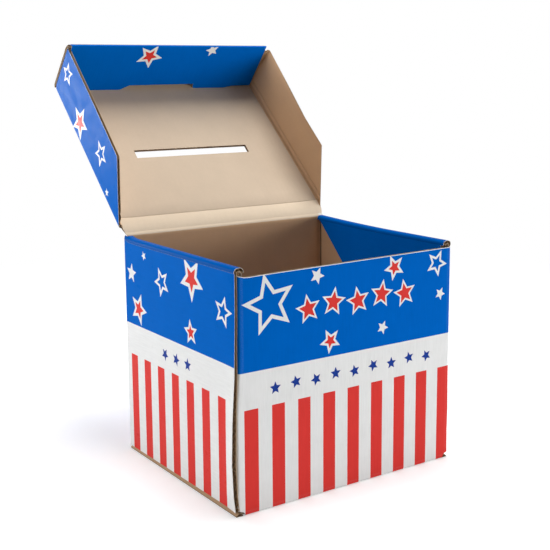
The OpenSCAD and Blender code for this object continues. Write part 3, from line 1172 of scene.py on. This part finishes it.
def build_crease():
    random.seed(4)
    count = len(CREASE_SECTION)
    valleys = (count - 4, count - 5)
    points, coords, wear_and_shade, faces, inks = [], [], [], [], []
    for i in range(CREASE_STEPS + 1):
        x = -WALL_HALF + 2 * WALL_HALF * i / CREASE_STEPS
        ripple = random.uniform(-CREASE_RIPPLE, CREASE_RIPPLE)
        for j, (y, z) in enumerate(CREASE_SECTION):
            valley = j in valleys
            points.append(Vector((x * crease_width(z), y + ripple * valley, z)) * MM)
            coords.append(Vector((x, z, y)) * MM)
            wear_and_shade.append(CREASE_WEAR_AND_SHADE[valley])
    for i in range(CREASE_STEPS):
        for j in range(count):
            a, b = i * count + j, i * count + (j + 1) % count
            faces.append((a, b, b + count, a + count))
            inks.append(INK_ORDER.index(crease_ink(i, j)))
    faces += [tuple(range(count))[::-1], tuple(range(len(points) - count, len(points)))]
    inks += [INK_ORDER.index("edge")] * 2
    piece = make_piece("lid_crease_board", points, faces, inks, coords, wear_and_shade)
    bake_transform(piece)


build_end_walls()
build_bottom()
build_sides()
build_dust_flaps()
build_lid_top()
build_lid_sides()
build_lid_front()
build_crease()


# Floor, light and camera, in metres

# The floor turns white between two distances, and lies just below the box
FLOOR_NEAR = 0.55
FLOOR_FAR = 1.1
FLOOR_REACH = 8
FLOOR_LIFT = 0.35
FLOOR_DROP = 0.0002

SOFT_LIGHT = 0.08

# Each lamp's place, the point it faces, its two sides and its power
LAMPS = {
    "top": ((0.3, 0.15, 1.75), (0, 0.1, 0.25), (1, 0.85), 29),
    "front": ((1.4, -1.2, 0.3), (0, 0, 0.15), (2.2, 0.5), 25),
    "left": ((-1.6, 0.1, 0.85), (0, 0, 0.2), (0.8, 0.8), 9.3),
    "glare": ((-0.557, 1.18, 0.34), (-0.118, 0.17, 0.3), (0.45, 0.34), 10.5),
}

# The camera's place and turns, and its lens in pixels of a picture of that width
CAMERA_PLACE = (-0.51558, -0.744, 0.34897)
CAMERA_AZIMUTH = math.radians(34.152)
CAMERA_DROP = math.radians(8.664)
CAMERA_ROLL = -0.0076
PICTURE_PX = 550
FOCAL_PX = 1007.4
AXIS_RISE_PX = 45


def build_floor():
    """A pale floor that keeps the box's shadow and runs out to a white background."""
    nodes = Nodes("pale_floor")
    place = nodes.add("ShaderNodeTexCoord").outputs["Object"]
    grain = nodes.noise(place, 30)
    colour = nodes.mix(nodes.ramp(grain, 0.3, 0.7), (0.82, 0.82, 0.82, 1), (0.85, 0.85, 0.85, 1))
    paper = nodes.add("ShaderNodeBsdfDiffuse", {"Color": colour})
    white = nodes.add("ShaderNodeEmission", {"Color": WHITE, "Strength": 1})
    lift = nodes.add("ShaderNodeEmission", {"Color": WHITE, "Strength": FLOOR_LIFT})
    near = nodes.add("ShaderNodeAddShader", {0: paper.outputs[0], 1: lift.outputs[0]})
    distance = nodes.add("ShaderNodeVectorMath", {0: place}, operation="LENGTH").outputs["Value"]
    far = nodes.add("ShaderNodeMapRange", {
        "Value": distance, "From Min": FLOOR_NEAR, "From Max": FLOOR_FAR},
        interpolation_type="SMOOTHSTEP").outputs[0]
    path = nodes.add("ShaderNodeLightPath")
    seen = nodes.math("MAXIMUM", path.outputs["Is Camera Ray"], path.outputs["Is Glossy Ray"])
    shown = nodes.add("ShaderNodeMixShader", {0: far, 1: near.outputs[0], 2: white.outputs[0]})
    pick = nodes.add("ShaderNodeMixShader", {0: seen, 1: paper.outputs[0], 2: shown.outputs[0]})
    nodes.add("ShaderNodeOutputMaterial", {0: pick.outputs[0]})
    mesh = bpy.data.meshes.new("floor")
    corners = box_loop(-FLOOR_REACH, -FLOOR_REACH, FLOOR_REACH, FLOOR_REACH)
    mesh.from_pydata([(x, y, -FLOOR_DROP) for x, y in corners], [], [(0, 1, 2, 3)])
    mesh.materials.append(nodes.owner)
    new_object("floor", mesh)


def build_world(strength):
    """A soft even light, which the camera sees as white."""
    nodes = Nodes("studio", bpy.data.worlds)
    bpy.context.scene.world = nodes.owner
    seen = nodes.add("ShaderNodeLightPath").outputs["Is Camera Ray"]
    soft = nodes.add("ShaderNodeBackground", {"Color": WHITE, "Strength": strength})
    white = nodes.add("ShaderNodeBackground", {"Color": WHITE, "Strength": 1})
    mix = nodes.add("ShaderNodeMixShader", {0: seen, 1: soft.outputs[0], 2: white.outputs[0]})
    nodes.add("ShaderNodeOutputWorld", {0: mix.outputs[0]})


def add_lamp(name, place, target, size, power):
    """A rectangular lamp that faces a point."""
    lamp = bpy.data.lights.new(name, "AREA")
    lamp.shape = "RECTANGLE"
    lamp.size, lamp.size_y = size
    lamp.energy = power
    holder = new_object(name, lamp)
    holder.location = place
    way = Vector(target) - Vector(place)
    holder.rotation_euler = way.to_track_quat("-Z", "Y").to_euler()


def build_camera():
    """A camera at the photograph's viewing angle, fitted to the object's corners."""
    level = math.cos(CAMERA_DROP)
    forward = Vector((math.sin(CAMERA_AZIMUTH) * level, math.cos(CAMERA_AZIMUTH) * level,
                      -math.sin(CAMERA_DROP)))
    right = Vector((math.cos(CAMERA_AZIMUTH), -math.sin(CAMERA_AZIMUTH), 0))
    up = right.cross(forward)
    turned = right * math.cos(CAMERA_ROLL) + up * math.sin(CAMERA_ROLL)
    up = up * math.cos(CAMERA_ROLL) - right * math.sin(CAMERA_ROLL)
    lens = bpy.data.cameras.new("camera")
    lens.sensor_width = 36
    lens.lens = FOCAL_PX * lens.sensor_width / PICTURE_PX
    lens.shift_y = -AXIS_RISE_PX / PICTURE_PX
    lens.clip_start = 0.01
    camera = new_object("camera", lens)
    turn = Matrix((turned, up, -forward)).transposed()
    camera.matrix_world = Matrix.Translation(CAMERA_PLACE) @ turn.to_4x4()
    bpy.context.scene.camera = camera


build_floor()
build_world(SOFT_LIGHT)
for name, settings in LAMPS.items():
    add_lamp(name, *settings)
build_camera()
bpy.context.scene.view_settings.view_transform = "Standard"
